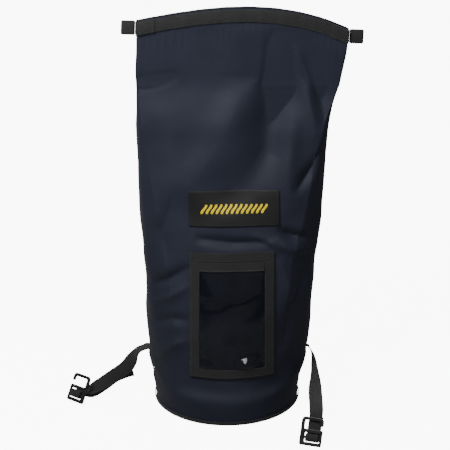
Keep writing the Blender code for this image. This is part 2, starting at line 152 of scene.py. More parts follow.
# Folds of the slack front: the route of each (sideways, up), how far out and how wide it is
FOLDS = (
    (((0.045, 0.715), (0.026, 0.61), (-0.012, 0.525), (-0.062, 0.452)), 0.0085, 0.032),
    (((0.105, 0.705), (0.092, 0.6), (0.064, 0.51), (0.01, 0.442)), -0.012, 0.03),
    (((0.118, 0.712), (0.142, 0.62), (0.16, 0.54)), 0.007, 0.015),
    (((0.145, 0.7), (0.165, 0.62), (0.176, 0.56)), -0.006, 0.014),
    (((0.175, 0.512), (0.15, 0.475), (0.128, 0.44)), -0.0085, 0.011),
    (((0.12, 0.56), (0.112, 0.49), (0.116, 0.41)), 0.006, 0.02),
    (((0.15, 0.345), (0.118, 0.352), (0.098, 0.362)), -0.008, 0.009),
    (((0.15, 0.318), (0.116, 0.33), (0.094, 0.346)), 0.0045, 0.01),
    (((-0.05, 0.352), (0.01, 0.345), (0.07, 0.345)), -0.006, 0.008),
    (((0.05, 0.356), (0.084, 0.342), (0.098, 0.33)), 0.004, 0.006),
    (((-0.17, 0.622), (-0.13, 0.632), (-0.098, 0.64)), -0.005, 0.01),
    (((-0.14, 0.25), (-0.108, 0.27), (-0.074, 0.296)), -0.006, 0.009),
    (((-0.138, 0.215), (-0.105, 0.238), (-0.074, 0.262)), 0.0045, 0.01),
    (((-0.138, 0.175), (-0.106, 0.196), (-0.076, 0.2)), -0.0055, 0.01),
    (((-0.12, 0.12), (-0.098, 0.148), (-0.078, 0.16)), 0.004, 0.011),
    (((0.1, 0.3), (0.118, 0.24), (0.112, 0.18)), 0.004, 0.012),
    (((0.138, 0.27), (0.116, 0.22), (0.104, 0.15)), -0.005, 0.011),
    (((-0.1, 0.42), (-0.12, 0.36), (-0.112, 0.31)), -0.005, 0.016),
    (((-0.11, 0.56), (-0.095, 0.48), (-0.11, 0.4)), 0.005, 0.026),
)
# Buckles of the clear sheet: place, half width, half height and depth
VINYL_BUCKLES = ((0.038, 0.118, 0.022, 0.01, 0.0088), (-0.04, 0.112, 0.012, 0.0085, 0.0075),
                 (0.004, 0.15, 0.03, 0.02, 0.003), (0.03, 0.232, 0.03, 0.024, 0.0026))
PUCKERS = 30                # small gathers of the fabric where it is sewn to the rim
SLACK = 0.022               # how much longer the cloth is than the tube it hangs from
MAX_SAG = 0.011


# Node materials

def new_material(name):
    mat = bpy.data.materials.new(name)
    mat.use_nodes = True
    shader = mat.node_tree.nodes["Principled BSDF"]
    return mat, mat.node_tree, shader


def maths(tree, operation, first, second=None):
    node = tree.nodes.new("ShaderNodeMath")
    node.operation = operation
    for socket, value in zip(node.inputs, (first, second)):
        if isinstance(value, (int, float)):
            socket.default_value = value
        elif value is not None:
            tree.links.new(value, socket)
    return node.outputs[0]


def coordinates(tree, kind="UV"):
    split = tree.nodes.new("ShaderNodeSeparateXYZ")
    tree.links.new(tree.nodes.new("ShaderNodeTexCoord").outputs[kind], split.inputs[0])
    return split.outputs[0], split.outputs[1]


def noise_at(tree, scale, detail):
    node = tree.nodes.new("ShaderNodeTexNoise")
    node.inputs["Scale"].default_value = scale
    node.inputs["Detail"].default_value = detail
    node.inputs["Roughness"].default_value = 0.55
    tree.links.new(tree.nodes.new("ShaderNodeTexCoord").outputs["Object"], node.inputs["Vector"])
    return node.outputs["Fac"]


def weighted(tree, first, share, second, other_share):
    return maths(tree, "ADD", maths(tree, "MULTIPLY", first, share),
                 maths(tree, "MULTIPLY", second, other_share))


def spread(tree, value, low, high):
    node = tree.nodes.new("ShaderNodeMapRange")
    node.inputs["From Min"].default_value = 0.3
    node.inputs["From Max"].default_value = 0.7
    node.inputs["To Min"].default_value = low
    node.inputs["To Max"].default_value = high
    tree.links.new(value, node.inputs["Value"])
    return node.outputs["Result"]


def blend_colour(tree, factor, low, high):
    node = tree.nodes.new("ShaderNodeMix")
    node.data_type = "RGBA"
    node.inputs["A"].default_value = (*low, 1.0)
    node.inputs["B"].default_value = (*high, 1.0)
    tree.links.new(factor, node.inputs["Factor"])
    return node.outputs["Result"]


def paint(tree, shader, tone, dark, light):
    tree.links.new(blend_colour(tree, spread(tree, tone, 0.0, 1.0), dark, light),
                   shader.inputs["Base Color"])


def roughen(tree, shader, value, low, high):
    tree.links.new(spread(tree, value, low, high), shader.inputs["Roughness"])


def add_bump(tree, shader, height, distance, strength):
    bump = tree.nodes.new("ShaderNodeBump")
    bump.inputs["Strength"].default_value = strength
    bump.inputs["Distance"].default_value = distance
    tree.links.new(height, bump.inputs["Height"])
    tree.links.new(bump.outputs["Normal"], shader.inputs["Normal"])


def wave(tree, value, pitch, shift=None):
    """A sine with the given pitch in metres."""
    angle = maths(tree, "MULTIPLY", value, 2 * math.pi / pitch)
    if shift is not None:
        angle = maths(tree, "ADD", angle, shift)
    return maths(tree, "SINE", angle)


def coated_fabric(name, dark, light, roughness, kind="UV"):
    """Heavy plain-woven nylon with a coating: fine weave, soft colour drift, rubbed patches."""
    mat, tree, shader = new_material(name)
    u, v = coordinates(tree, kind)
    threads = maths(tree, "MULTIPLY", wave(tree, u, 0.0016), wave(tree, v, 0.0016))
    drift = noise_at(tree, 9.0, 4.0)
    fleck = noise_at(tree, 700.0, 2.0)
    paint(tree, shader, weighted(tree, drift, 0.6, fleck, 0.4), dark, light)
    roughen(tree, shader, drift, roughness - 0.07, roughness + 0.07)
    add_bump(tree, shader, weighted(tree, threads, 0.5, fleck, 0.6), 0.00022, 0.55)
    shader.inputs["Specular IOR Level"].default_value = 0.35
    shader.inputs["Sheen Weight"].default_value = 0.06
    shader.inputs["Sheen Roughness"].default_value = 0.5
    return mat


def woven_webbing(name, dark, light, roughness=0.72, kind="UV"):
    """Webbing ribbed across, with each lengthwise column of threads set half a rib on."""
    mat, tree, shader = new_material(name)
    u, v = coordinates(tree, kind)
    columns = wave(tree, u, 0.0032)
    shift = maths(tree, "MULTIPLY", maths(tree, "GREATER_THAN", columns, 0.0), math.pi / 2)
    ribs = maths(tree, "ABSOLUTE", wave(tree, v, 0.0034, shift))
    knots = maths(tree, "MULTIPLY", ribs, maths(tree, "ABSOLUTE", columns))
    height = weighted(tree, knots, 1.0, noise_at(tree, 900.0, 2.0), 0.35)
    drift = noise_at(tree, 26.0, 3.0)
    # Painted shade and highlight: the colour is darker in the hollows between the knots and
    # lighter on their tops, mixed with a random colour drift
    paint(tree, shader, weighted(tree, height, 0.45, drift, 0.5), dark, light)
    roughen(tree, shader, drift, roughness - 0.08, roughness + 0.08)
    add_bump(tree, shader, height, 0.00045, 0.8)
    shader.inputs["Sheen Weight"].default_value = 0.15
    return mat


def grained(name, dark, light, tone, rough, grain, bump, worn=False, metallic=0.0):
    """A plain hard surface; tone and grain are the scale and detail of its two noises."""
    mat, tree, shader = new_material(name)
    wear, pits = noise_at(tree, *tone), noise_at(tree, *grain)
    paint(tree, shader, wear, dark, light)
    roughen(tree, shader, wear if worn else pits, *rough)
    add_bump(tree, shader, pits, *bump)
    shader.inputs["Metallic"].default_value = metallic
    return mat


def flexible_vinyl(name):
    """Clear sheet with a faint haze and soft ripples that break up its reflections."""
    mat, tree, shader = new_material(name)
    haze = noise_at(tree, 22.0, 3.0)
    paint(tree, shader, haze, (0.004, 0.005, 0.01), (0.01, 0.012, 0.02))
    roughen(tree, shader, haze, 0.04, 0.11)
    add_bump(tree, shader, noise_at(tree, 24.0, 1.0), 0.0006, 0.25)
    shader.inputs["IOR"].default_value = 1.54
    shader.inputs["Alpha"].default_value = 0.55
    shader.inputs["Coat Weight"].default_value = 0.6
    shader.inputs["Coat Roughness"].default_value = 0.05
    return mat


mats = {
    "fabric": coated_fabric("navy_fabric", (0.0086, 0.0108, 0.023), (0.015, 0.018, 0.0345),
                            0.66),
    "fabric_cad": coated_fabric("navy_fabric_inside", (0.014, 0.016, 0.028),
                                (0.02, 0.023, 0.038), 0.55, "Object"),
    "webbing": woven_webbing("black_webbing", (0.0028, 0.0028, 0.0031), (0.0105, 0.0104, 0.0112)),
    "webbing_cad": woven_webbing("black_webbing_inside", (0.006, 0.006, 0.007),
                                 (0.018, 0.018, 0.02), kind="Object"),
    "rubber": grained("label_rubber", (0.003, 0.0029, 0.0034), (0.0052, 0.005, 0.0058),
                      (18.0, 3.0), (0.48, 0.62), (420.0, 3.0), (0.00012, 0.5)),
    "mark": grained("yellow_print", (0.86, 0.62, 0.001), (0.98, 0.74, 0.002),
                    (520.0, 2.0), (0.38, 0.55), (520.0, 2.0), (0.0001, 0.4)),
    "vinyl": flexible_vinyl("clear_vinyl"),
    "metal": grained("black_hook_metal", (0.016, 0.016, 0.018), (0.034, 0.034, 0.037),
                     (60.0, 4.0), (0.28, 0.42), (650.0, 3.0), (0.00006, 0.6), True, 0.35),
    "thread": woven_webbing("stitching_thread", (0.01, 0.01, 0.011), (0.022, 0.022, 0.024),
                            0.6, "Object"),
    "thread_pale": woven_webbing("hem_thread", (0.045, 0.046, 0.052), (0.085, 0.086, 0.095),
                                 0.6, "Object"),
}


# Meshes

def settle(piece, body, *replaced, slot="black_webbing"):
    """Gives a piece its body, and hides the plain nodes it stands for; the slot argument is not
    used.
    """
    if replaced:
        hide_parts(*replaced)
    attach(piece, body)


CORNERS = ((0, 0), (1, 0), (1, 1), (0, 1))


def quads(rows, columns, closed):
    """The faces of a grid of points, in rows; closed joins the last column to the first."""
    across = columns if closed else columns - 1
    return [(j * columns + i, j * columns + (i + 1) % columns,
             (j + 1) * columns + (i + 1) % columns, (j + 1) * columns + i)
            for j in range(rows - 1) for i in range(across)]


def travelled(points):
    """How far along a line each of its points lies."""
    lengths = [0.0]
    for p, q in zip(points, points[1:]):
        lengths.append(lengths[-1] + (q - p).length)
    return lengths


def place_on(lengths, want):
    """The stretch of a line that a distance falls in, and how far along that stretch."""
    k = max(j for j in range(len(lengths) - 1) if lengths[j] <= want + 1e-12)
    return k, (want - lengths[k]) / (lengths[k + 1] - lengths[k])


def link(obj):
    bpy.context.scene.collection.objects.link(obj)


def mesh_piece(name, points, faces, uvs, mat, sharp=40.0):
    """A smooth-shaded mesh; uvs holds one pair for each corner of each face, in metres."""
    mesh = bpy.data.meshes.new(name)
    mesh.from_pydata([tuple(p) for p in points], [], faces)
    if uvs is not None:
        layer = mesh.uv_layers.new(name="UVMap")
        layer.data.foreach_set("uv", np.array(uvs, np.float32).ravel())
    mesh.update()
    mesh.shade_smooth()
    mesh.set_sharp_from_angle(angle=math.radians(sharp))
    mesh.materials.append(mat)
    obj = bpy.data.objects.new(name, mesh)
    link(obj)
    return obj


def grid_piece(name, points, mat, closed=False):
    rows, columns = points.shape[:2]
    width = np.linalg.norm(np.diff(points[rows // 2], axis=0), axis=1).sum()
    height = np.linalg.norm(np.diff(points[:, columns // 2], axis=0), axis=1).sum()
    across = columns if closed else columns - 1
    us, vs = np.linspace(0, width, across + 1), np.linspace(0, height, rows)
    uvs = [(us[i + dx], vs[j + dy])
           for j in range(rows - 1) for i in range(across) for dx, dy in CORNERS]
    return mesh_piece(name, points.reshape(-1, 3), quads(rows, columns, closed), uvs, mat, 60.0)


def add_thickness(obj, thickness, bevel=0.0):
    shell = obj.modifiers.new("thickness", "SOLIDIFY")
    shell.thickness = thickness
    shell.offset = 1.0
    if bevel:
        edge = obj.modifiers.new("edge", "BEVEL")
        edge.width = bevel
        edge.segments = 2
        edge.limit_method = "ANGLE"
        edge.angle_limit = math.radians(50)


def smooth_step(value, low, high):
    t = np.clip((value - low) / (high - low), 0.0, 1.0)
    return t * t * (3 - 2 * t)


def smooth_path(points, count):
    """Points at even steps along a Catmull-Rom curve through the given points."""
    knots = [Vector(p) for p in points]
    knots = [2 * knots[0] - knots[1]] + knots + [2 * knots[-1] - knots[-2]]
    dense = []
    for i in range(1, len(knots) - 2):
        a, b, c, d = knots[i - 1:i + 3]
        for k in range(16):
            t = k / 16
            dense.append(0.5 * (2 * b + (c - a) * t + (2 * a - 5 * b + 4 * c - d) * t * t
                                + (3 * b - a - 3 * c + d) * t ** 3))
    dense.append(knots[-2])
    lengths = travelled(dense)
    result = []
    for i in range(count):
        k, t = place_on(lengths, lengths[-1] * i / (count - 1))
        result.append(dense[k].lerp(dense[k + 1], t))
    return result


def webbing_strip(name, path, sides, width=WEB_WIDTH, thickness=WEB_THICK, closed=False,
                  square=True):
    """Webbing along a path, with rounded selvedges; sides gives its width direction.

    square turns each width to lie straight across the path.
    """
    profile = []
    edge = thickness / 2
    for centre, start in ((width / 2 - edge, -90), (-width / 2 + edge, 90)):
        for k in range(5):
            a = math.radians(start + 45 * k)
            profile.append((centre + edge * math.cos(a), edge * math.sin(a)))
    count, ring = len(path), len(profile)
    points = []
    far = travelled(path + path[:1])
    for i, p in enumerate(path):
        before = path[i - 1] if i or closed else p
        after = path[(i + 1) % count] if i < count - 1 or closed else p
        along = (after - before).normalized()
        side = sides[i]
        if square:
            side = (side - along * side.dot(along)).normalized()
        up = along.cross(side).normalized()
        points += [p + side * x + up * y for x, y in profile]
    faces = [tuple(n % len(points) for n in quad) for quad in quads(count + closed, ring, True)]
    uvs = [(profile[(k + dx) % ring][0], far[i + dy])
           for i in range(count - 1 + closed) for k in range(ring) for dx, dy in CORNERS]
    if not closed:
        last = ring * (count - 1)
        faces.append(tuple(range(ring - 1, -1, -1)))
        faces.append(tuple(range(last, last + ring)))
        uvs += profile[::-1] + profile
    return mesh_piece(name, points, faces, uvs, mats["webbing"])


def stitch_row(name, lines, body="root", mat="thread", long=0.003, gap=0.0014, radius=0.00045):
    """Small stitches along lines; each line is a list of (point, outward direction)."""
    points, faces = [], []
    for line in lines:
        lengths = travelled([p for p, _ in line])
        count = max(1, int(lengths[-1] / (long + gap)))
        for s in range(count):
            k, t = place_on(lengths, lengths[-1] * (s + 0.5) / count)
            centre = line[k][0].lerp(line[k + 1][0], t)
            out = line[k][1].lerp(line[k + 1][1], t).normalized()
            along = (line[k + 1][0] - line[k][0]).normalized()
            side = along.cross(out).normalized()
            first = len(points)
            for x, r in ((-0.5, 0.35), (-0.25, 1.0), (0.25, 1.0), (0.5, 0.35)):
                hub = centre + along * (x * long) + out * radius * 0.4 * r
                for a in np.linspace(0, 2 * math.pi, 5, endpoint=False):
                    points.append(hub + (side * math.cos(a) + out * math.sin(a)) * radius * r)
            faces += [tuple(first + n for n in face[::-1]) for face in quads(4, 5, True)]
            faces.append(tuple(first + a for a in range(5)))
            faces.append(tuple(first + 15 + a for a in range(4, -1, -1)))
    thread = mesh_piece(name, points, faces, None, mats[mat], sharp=80.0)
    settle(thread, body, slot="thread")


# The shape of the fabric

HEIGHTS = np.linspace(TUBE[0][0], TUBE_TOP, 320)


def smoothed_profile():
    """The tube's half width, half depth and lean at even heights, with the corners eased."""
    columns = []
    kernel = np.exp(-0.5 * (np.arange(-12, 13) / 5.0) ** 2)
    kernel /= kernel.sum()
    for column in (1, 2, 3):
        values = np.interp(HEIGHTS, TUBE[:, 0], TUBE[:, column])
        padded = np.pad(values, 12, mode="reflect", reflect_type="odd")
        columns.append(np.convolve(padded, kernel, mode="valid"))
    return columns


PROFILE = smoothed_profile()


def section(angle, half_width, half_depth):
    spread_out = np.clip(CROWN * np.cos(angle), -1.0, 1.0)
    return (half_depth * np.cos(angle) + (half_width - half_depth) * spread_out,
            half_depth * np.sin(angle))


def tube_points(angle, height):
    half_width, half_depth, lean = (np.interp(height, HEIGHTS, column) for column in PROFILE)
    x, y = section(angle, half_width, np.maximum(half_depth, 0.0044))
    tilt = smooth_step(height, 0.3, TUBE_TOP) * math.tan(COLLAR_LEAN)
    return np.stack([lean + x, y, height - tilt * x], axis=-1)


def rim_rise(x):
    t = np.clip(x / RIM_HALF_WIDTH, -1.0, 1.0)
    return RIM_ARCH * (1 - t * t) * (1 + RIM_ARCH_SKEW * t)


COLLAR_X = Vector((math.cos(COLLAR_LEAN), 0, -math.sin(COLLAR_LEAN)))
COLLAR_UP = Vector((math.sin(COLLAR_LEAN), 0, math.cos(COLLAR_LEAN)))
FORWARD = Vector((0, -1, 0))


def collar_points(angle, up):
    """The flat collar, at a distance up its own frame; above the rim's ends it is arched."""
    half, offset = (np.interp(up, (LOWER_FOLD, UPPER_FOLD), ends)
                    for ends in zip(COLLAR_LOW, COLLAR_HIGH))
    x, y = section(angle, half, COLLAR_HALF_DEPTH)
    x = x + offset
    top = WEB_WIDTH - 0.0015
    arched = np.clip((up - UPPER_FOLD) / (top - UPPER_FOLD), 0, 1)
    w = np.where(up > UPPER_FOLD, UPPER_FOLD + arched * (rim_rise(x) + top - UPPER_FOLD), up)
    centre = np.array(COLLAR_CENTRE)
    return (centre + x[..., None] * np.array(COLLAR_X) + w[..., None] * np.array(COLLAR_UP)
            + y[..., None] * np.array((0.0, 1.0, 0.0)))


def on_collar(x, y, up):
    return COLLAR_CENTRE + COLLAR_X * x + COLLAR_UP * float(up) - FORWARD * y


def band_foot(points):
    """The height of the rim band's lower edge over each point."""
    x = points[..., 0] - COLLAR_CENTRE.x
    return COLLAR_CENTRE.z + rim_rise(x) - math.tan(COLLAR_LEAN) * x


def fold_height(points, front):
    """How far the slack cloth stands out from the plain tube, from folds and gathers."""
    x, z = points[..., 0], points[..., 2]
    out = np.zeros_like(x)
    for route, depth, width in FOLDS:
        route = np.array(route)
        best = np.full(x.shape, 1e9)
        place = np.zeros_like(x)
        for k, (start, end) in enumerate(zip(route, route[1:])):
            span = end - start
            t = np.clip(((x - start[0]) * span[0] + (z - start[1]) * span[1])
                        / (span @ span), 0, 1)
            gap = np.hypot(x - start[0] - t * span[0], z - start[1] - t * span[1])
            nearer = gap < best
            best = np.where(nearer, gap, best)
            place = np.where(nearer, (k + t) / (len(route) - 1), place)
        taper = np.sin(np.pi * (0.12 + 0.76 * place)) ** 0.8
        soft = np.exp(-(best / width) ** 2)
        crease = np.exp(-best / (0.55 * width))
        share = 0.4 if width < 0.02 else 0.06
        out += depth * taper * ((1 - share) * soft + share * crease)
    gathers = np.sin(x * PUCKERS * 2 * np.pi / 0.38 + 2.1 * np.sin(x * 31.0))
    under = band_foot(points) - z
    uneven = 0.35 + 0.65 * np.sin(x * 19.0 + 0.8) ** 2
    out += 0.0009 * gathers * uneven * np.exp(-np.clip(under, 0, 1) / 0.022)
    return 1.35 * out * front


def soft_noise(points, scale, seed):
    flat = points.reshape(-1, 3)
    offset = Vector((seed * 3.1, seed * 1.7, seed * 2.3))
    values = [noise.noise(Vector(p) * scale + offset) for p in flat]
    return np.array(values).reshape(points.shape[:-1])


def outward(points):
    """Normals of a closed grid whose columns run round the tube."""
    round_it = np.roll(points, -1, axis=1) - np.roll(points, 1, axis=1)
    up_it = np.gradient(points, axis=0)
    normals = np.cross(round_it, up_it)
    return normals / np.maximum(np.linalg.norm(normals, axis=-1, keepdims=True), 1e-12)


def shaped(points, angle):
    """The plain surface with its folds and a gentle unevenness added."""
    front = smooth_step(-np.sin(angle), -0.1, 0.3)
    back = 1.0 - front
    z = points[..., 2]
    foot = smooth_step(z, 0.006, 0.05)
    top = 1 - 0.5 * smooth_step(z, 0.56, 0.66)
    wide = soft_noise(points, 9.0, 1)
    fine = soft_noise(points, 23.0, 2)
    out = fold_height(points, front)
    out += foot * top * (0.0035 * wide + 0.0016 * fine) * (1 + back)
    inward = -np.maximum(0.85 * np.interp(z, TUBE[:, 0], TUBE[:, 2]) - 0.003, 0.0008)
    under = band_foot(points) - z
    out = np.maximum(out * smooth_step(under, -0.002, 0.03), inward)
    # Flat enough near the mouth for the rim to fold down over it
    most = 0.002 + 0.028 * (1 - smooth_step(z, 0.55, 0.645))
    out = np.where(out > 0, most * np.tanh(out / most), out)
    return points + outward(points) * out[..., None]


def sagged(grid):
    """Lets the slack cloth hang between its sewn base and its flat neck, and keeps the result."""
    rows, columns = grid.shape[:2]
    obj = grid_piece("cloth_being_hung", grid, mats["fabric"], closed=True)
    rest = grid.reshape(-1, 3)
    group = obj.vertex_groups.new(name="sewn")
    heights = grid[:, :, 2].mean(axis=1)
    sewn = np.maximum(1 - smooth_step(heights, 0.004, 0.08), smooth_step(heights, 0.51, 0.6))
    for j, weight in enumerate(sewn):
        if weight > 0:
            group.add(range(j * columns, (j + 1) * columns), float(weight), "REPLACE")
    cloth = obj.modifiers.new("cloth", "CLOTH")
    settings = cloth.settings
    settings.quality = 6
    settings.mass = 0.4
    settings.tension_stiffness = settings.compression_stiffness = 30
    settings.shear_stiffness = 12
    settings.bending_stiffness = 1.2
    settings.air_damping = 3
    settings.vertex_group_mass = "sewn"
    settings.shrink_min = settings.shrink_max = -SLACK
    cloth.collision_settings.use_collision = False
    scene = bpy.context.scene
    scene.frame_start, scene.frame_end = 1, 22
    cloth.point_cache.frame_start, cloth.point_cache.frame_end = 1, 22
    for step in range(1, 23):
        scene.frame_set(step)
    evaluated = obj.evaluated_get(bpy.context.evaluated_depsgraph_get())
    moved = np.array([v.co for v in evaluated.data.vertices]) - rest
    scene.frame_set(1)
    bpy.data.objects.remove(obj)
    distance = np.linalg.norm(moved, axis=1, keepdims=True)
    kept = MAX_SAG * np.tanh(distance / MAX_SAG) / np.maximum(distance, 1e-9)
    drift = (moved * kept).reshape(rows, columns, 3)
    for _ in range(16):   # evens out the finest ripples
        drift = (np.roll(drift, 1, axis=1) + 2 * drift + np.roll(drift, -1, axis=1)) / 4
        padded = np.pad(drift, ((1, 1), (0, 0), (0, 0)), mode="edge")
        drift = (padded[:-2] + 2 * drift + padded[2:]) / 4
    return grid + drift * (1 - sewn)[:, None, None]


def measured(grid):
    """Lengths round the middle of the cloth and up its front, for the weave to follow."""
    middle, front = grid[len(grid) // 2], grid[:, 4 * grid.shape[1] // 5]
    steps = (np.linalg.norm(np.roll(middle, -1, axis=0) - middle, axis=1),
             np.linalg.norm(np.diff(front, axis=0), axis=1))
    return [np.concatenate([[0.0], np.cumsum(step)]) for step in steps]


def fabric_piece(name, grid, normals, rows):
    """Some rows of the cloth as a closed shell, shaded as part of the whole."""
    first, last = rows
    outer, direction = (part[first:last + 1] for part in (grid, normals))
    count, columns = outer.shape[:2]
    points = np.concatenate([outer, outer - direction * FABRIC]).reshape(-1, 3)
    facing = np.concatenate([direction, -direction]).reshape(-1, 3)
    around, along = measured(grid)
    faces, uvs = [], []
    inner = count * columns
    for number, quad in enumerate(quads(count, columns, True)):
        j, i = divmod(number, columns)
        spots = [(around[i + dx], along[first + j + dy]) for dx, dy in CORNERS]
        faces += [quad, tuple(inner + k for k in reversed(quad))]
        uvs += spots + spots[::-1]
    for base, order in ((0, -1), ((count - 1) * columns, 1)):
        for i in range(columns):
            k = (i + 1) % columns
            faces.append((base + i, base + k, inner + base + k, inner + base + i)[::order])
            uvs += [(0, 0)] * 4
    piece = mesh_piece(name, points, faces, uvs, mats["fabric"], sharp=180.0)
    piece.data.normals_split_custom_set_from_vertices([tuple(way) for way in facing])
    return piece


def make_fabric():
    # Columns even across the front and the back, then round each side
    side = math.acos(1 / CROWN)
    front = np.arccos(np.linspace(-1 / CROWN, 1 / CROWN, 122, endpoint=False))
    back = np.arccos(np.linspace(1 / CROWN, -1 / CROWN, 92, endpoint=False))
    turn = np.linspace(-side, side, 38, endpoint=False)
    angle = np.concatenate([turn, back, math.pi + turn, 2 * math.pi - front])
    body = np.linspace(TUBE[0][0], SPLIT, 176)
    neck = np.linspace(SPLIT, TUBE_TOP, 13)[1:-1]
    collar = np.linspace(LOWER_FOLD, MIDDLE, 13)
    upper = np.concatenate([np.linspace(MIDDLE, UPPER_FOLD, 12)[1:-1],
                            np.linspace(UPPER_FOLD, WEB_WIDTH - 0.0015, 18)])
    around = angle[None, :]
    grid = np.concatenate([tube_points(around, np.concatenate([body, neck])[:, None]),
                           collar_points(around, np.concatenate([collar, upper])[:, None])])
    grid = shaped(grid, np.broadcast_to(angle, grid.shape[:2]))
    grid = sagged(grid)
    normals = outward(grid)
    first, second = len(body) - 1, len(body) + len(neck) + len(collar) - 1
    tube = fabric_piece("bag_fabric", grid, normals, (0, first))
    sleeve = fabric_piece("collar_fabric", grid, normals, (first, second))
    rim = fabric_piece("rim_fabric", grid, normals, (second, len(grid) - 1))
    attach(tube, "root")
    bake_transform(sleeve)
    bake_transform(rim)
    for piece, node in ((tube, "body_panel"), (sleeve, "collar_sleeve"), (rim, "rim_sleeve")):
        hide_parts(node)
    return BVHTree.FromPolygons([tuple(p) for p in grid.reshape(-1, 3)],
                                quads(len(grid), len(angle), True))


# Things sewn to the cloth

def draped_grid(box, steps, lift, stiffness, facing=-1):
    """Points of a sheet that lies on the bag, evened out by its own stiffness.

    facing is -1 for the front of the bag and 1 for its back.
    """
    left, right, bottom, top = box
    xs = np.linspace(left, right, steps[0] + 1)
    zs = np.linspace(bottom, top, steps[1] + 1)
    inward = Vector((0, -facing, 0))
    raw = np.array([[cloth.ray_cast(Vector((x, facing, z)), inward)[0].y for x in xs] for z in zs])
    even = raw.copy()
    for _ in range(stiffness):
        padded = np.pad(even, 1, mode="reflect", reflect_type="odd")
        even = (padded[:-2, 1:-1] + padded[2:, 1:-1] + padded[1:-1, :-2]
                + padded[1:-1, 2:]) / 4
    depth = facing * (np.maximum(even * facing, raw * facing) + lift)
    grid = np.empty((*raw.shape, 3))
    grid[..., 0], grid[..., 1], grid[..., 2] = xs[None, :], depth, zs[:, None]
    return grid


def sewn_sheet(name, box, steps, lift, thickness, mat, stiffness, bevel=0.0004):
    grid = draped_grid(box, steps, lift, stiffness)
    piece = grid_piece(name, grid, mat)
    add_thickness(piece, thickness, bevel)
    return piece, grid


def grid_line(grid, lift):
    """A closed line of (point, outward) one grid step inside the sheet's edge."""
    rows, columns = grid.shape[0] - 2, grid.shape[1] - 2
    route = ([(1, c) for c in range(1, columns + 1)] + [(r, columns) for r in range(2, rows + 1)]
             + [(rows, c) for c in range(columns - 1, 0, -1)]
             + [(r, 1) for r in range(rows - 1, 0, -1)])
    return [(Vector(grid[r, c]) + FORWARD * lift, FORWARD) for r, c in route]


def make_label():
    patch, grid = sewn_sheet("label_patch_cover", LABEL, (66, 26), 0.0009, LABEL_THICK,
                             mats["rubber"], 30, 0.0005)
    settle(patch, "root", "label_patch", slot="label_rubber")
    stitch_row("label_stitching", [grid_line(grid, LABEL_THICK + 0.0001)], long=0.0026,
               gap=0.0013, radius=0.0004)
    make_mark(grid)


def make_back_tape():
    """The tape over the seam that closes the tube behind, with a row of stitches each side."""
    half, bottom, top = BACK_TAPE
    grid = draped_grid((half, -half, bottom, top), (10, 170), 0.0005, 6, facing=1)
    tape = grid_piece("back_seam_tape_webbing", grid, mats["webbing"])
    add_thickness(tape, 0.001, 0.0003)
    settle(tape, "root", "back_seam_tape")
    lines = [[(Vector(point) - FORWARD * 0.0011, -FORWARD) for point in grid[1:-1, column]]
             for column in (1, -2)]
    stitch_row("back_seam_stitching", lines)


def make_mark(grid):
    """A plain row of slanted bars, like the lay of a rope, raised on the label."""
    left, right, bottom, top = LABEL
    height, slant, thick = 0.0165, 0.0085, 0.0007
    low = bottom + 0.024
    count, pitch, wide = 13, 0.0091, 0.0052
    start = left + (right - left - (count - 1) * pitch - slant - wide) / 2
    points, faces = [], []
    rows, columns = grid.shape[:2]

    def on_label(x, z, lift):
        c = (x - left) / (right - left) * (columns - 1)
        r = (z - bottom) / (top - bottom) * (rows - 1)
        i, j = min(int(c), columns - 2), min(int(r), rows - 2)
        fx, fz = c - i, r - j
        column = grid[:, i, 1] * (1 - fx) + grid[:, i + 1, 1] * fx
        y = column[j] * (1 - fz) + column[j + 1] * fz
        return Vector((x, y - LABEL_THICK - lift, z))

    for n in range(count):
        foot = start + n * pitch
        outline = []
        for side, first in ((1, 0.0), (-1, 1.0)):
            for k in range(7):
                t = k / 6 if side > 0 else 1 - k / 6
                rise = height * t
                bulge = 0.5 * wide * math.sin(math.pi * (0.12 + 0.76 * t)) ** 0.5
                middle = foot + wide / 2 + slant * (t - 0.12 * math.sin(2 * math.pi * t))
                outline.append((middle + side * bulge, low + rise))
        first, ring = len(points), len(outline)
        points += [on_label(x, z, -0.0003) for x, z in outline]
        points += [on_label(x, z, thick * 0.7) for x, z in outline]
        cx = sum(x for x, _ in outline) / ring
        cz = sum(z for _, z in outline) / ring
        points += [on_label(cx + (x - cx) * 0.86, cz + (z - cz) * 0.95, thick)
                   for x, z in outline]
        faces += [tuple(first + k for k in face) for face in quads(3, ring, True)]
        faces.append(tuple(first + 2 * ring + k for k in range(ring)))
        faces.append(tuple(first + k for k in range(ring - 1, -1, -1)))
    bars = mesh_piece("label_mark_bars", points, faces, None, mats["mark"], sharp=35.0)
    settle(bars, "root", slot="label_mark")


